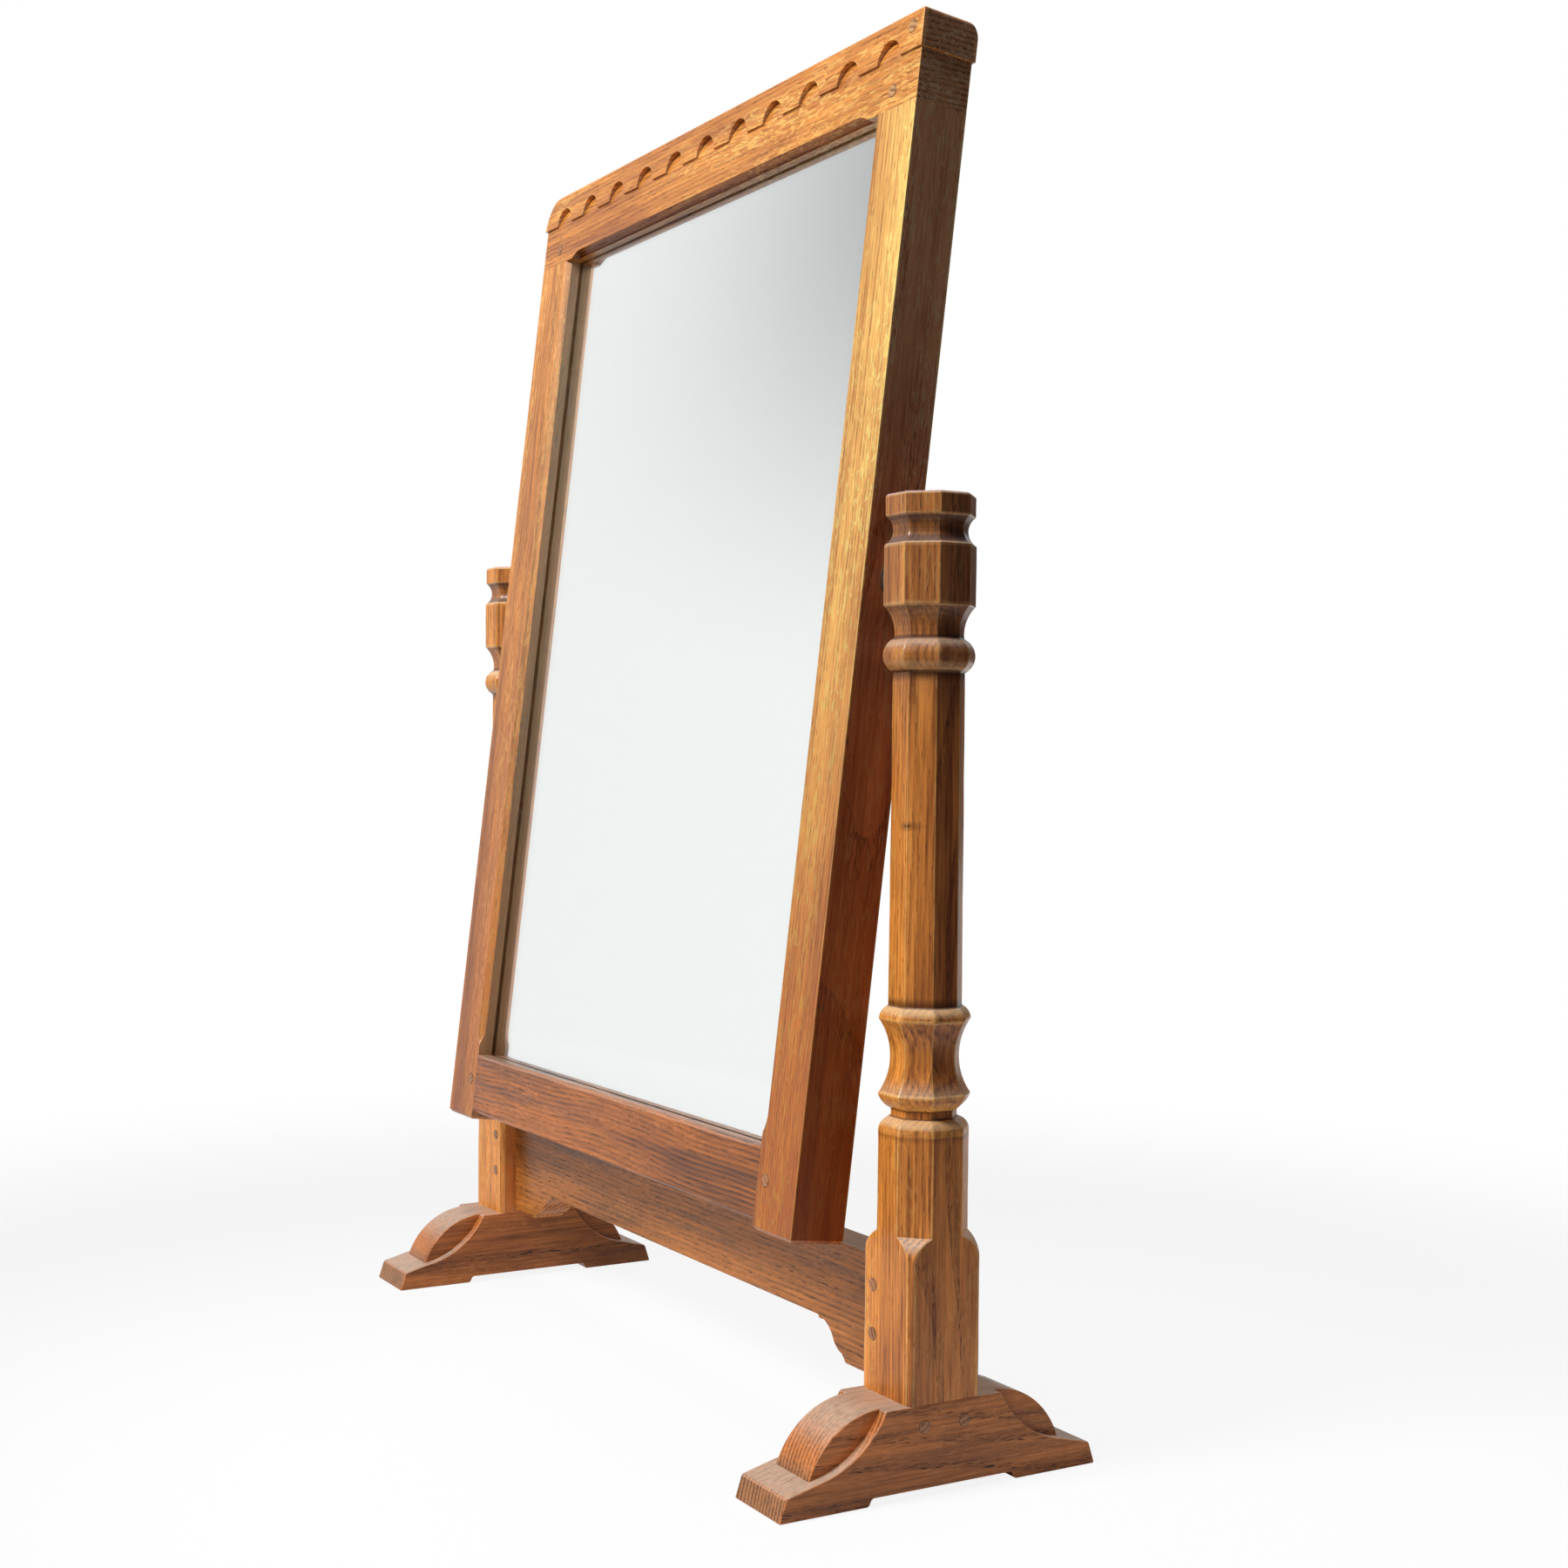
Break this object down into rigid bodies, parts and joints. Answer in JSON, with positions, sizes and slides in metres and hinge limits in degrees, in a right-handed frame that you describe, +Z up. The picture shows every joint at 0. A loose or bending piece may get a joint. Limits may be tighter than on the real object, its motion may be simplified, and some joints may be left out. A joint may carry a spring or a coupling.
{
  "type": "swing mirror",
  "caption": "Free-standing oak swing mirror with carved octagonal posts on sledge feet, a bracketed stretcher and a framed plate that turns on friction pivots.",
  "frame": {"origin": "on the floor under the middle of the stand, midway between the posts", "axes": "+Z up, +X to the viewer's right across the stand, -Y to the front"},
  "size_m": [0.636, 0.22, 0.8601],
  "materials": {
    "oak": "waxed",
    "peg_oak": "waxed",
    "fillet_oak": "bare",
    "board_oak": "bare",
    "steel": "satin",
    "brass": "satin",
    "washer_leather": "matt",
    "glass": "clear",
    "silvering": "mirror"
  },
  "bodies": {
    "stand": {"left_foot": "oak", "right_foot": "oak", "left_post": "oak", "right_post": "oak", "stretcher": "oak", "left_foot_pegs": "peg_oak", "right_foot_pegs": "peg_oak", "left_post_pegs": "peg_oak", "right_post_pegs": "peg_oak", "left_pivot_socket": "steel", "right_pivot_socket": "steel", "left_socket_screws": "steel", "right_socket_screws": "steel", "left_friction_washer": "washer_leather", "right_friction_washer": "washer_leather"},
    "mirror": {"top_rail": "oak", "bottom_rail": "oak", "left_stile": "oak", "right_stile": "oak", "left_top_pegs": "peg_oak", "right_top_pegs": "peg_oak", "left_bottom_peg": "peg_oak", "right_bottom_peg": "peg_oak", "mirror_glass": "glass", "silver_backing": "silvering", "top_fillet": "fillet_oak", "bottom_fillet": "fillet_oak", "left_fillet": "fillet_oak", "right_fillet": "fillet_oak", "backboard": "board_oak", "backboard_screws": "brass", "left_pivot_stud": "steel", "right_pivot_stud": "steel", "left_stud_screws": "steel", "right_stud_screws": "steel"}
  },
  "joints": [
    {"name": "mirror_tilt", "type": "hinge", "parent": "stand", "child": "mirror", "pos_m": [0, 0, 0.5254], "axis": [1, 0, 0], "continuous": true}
  ]
}
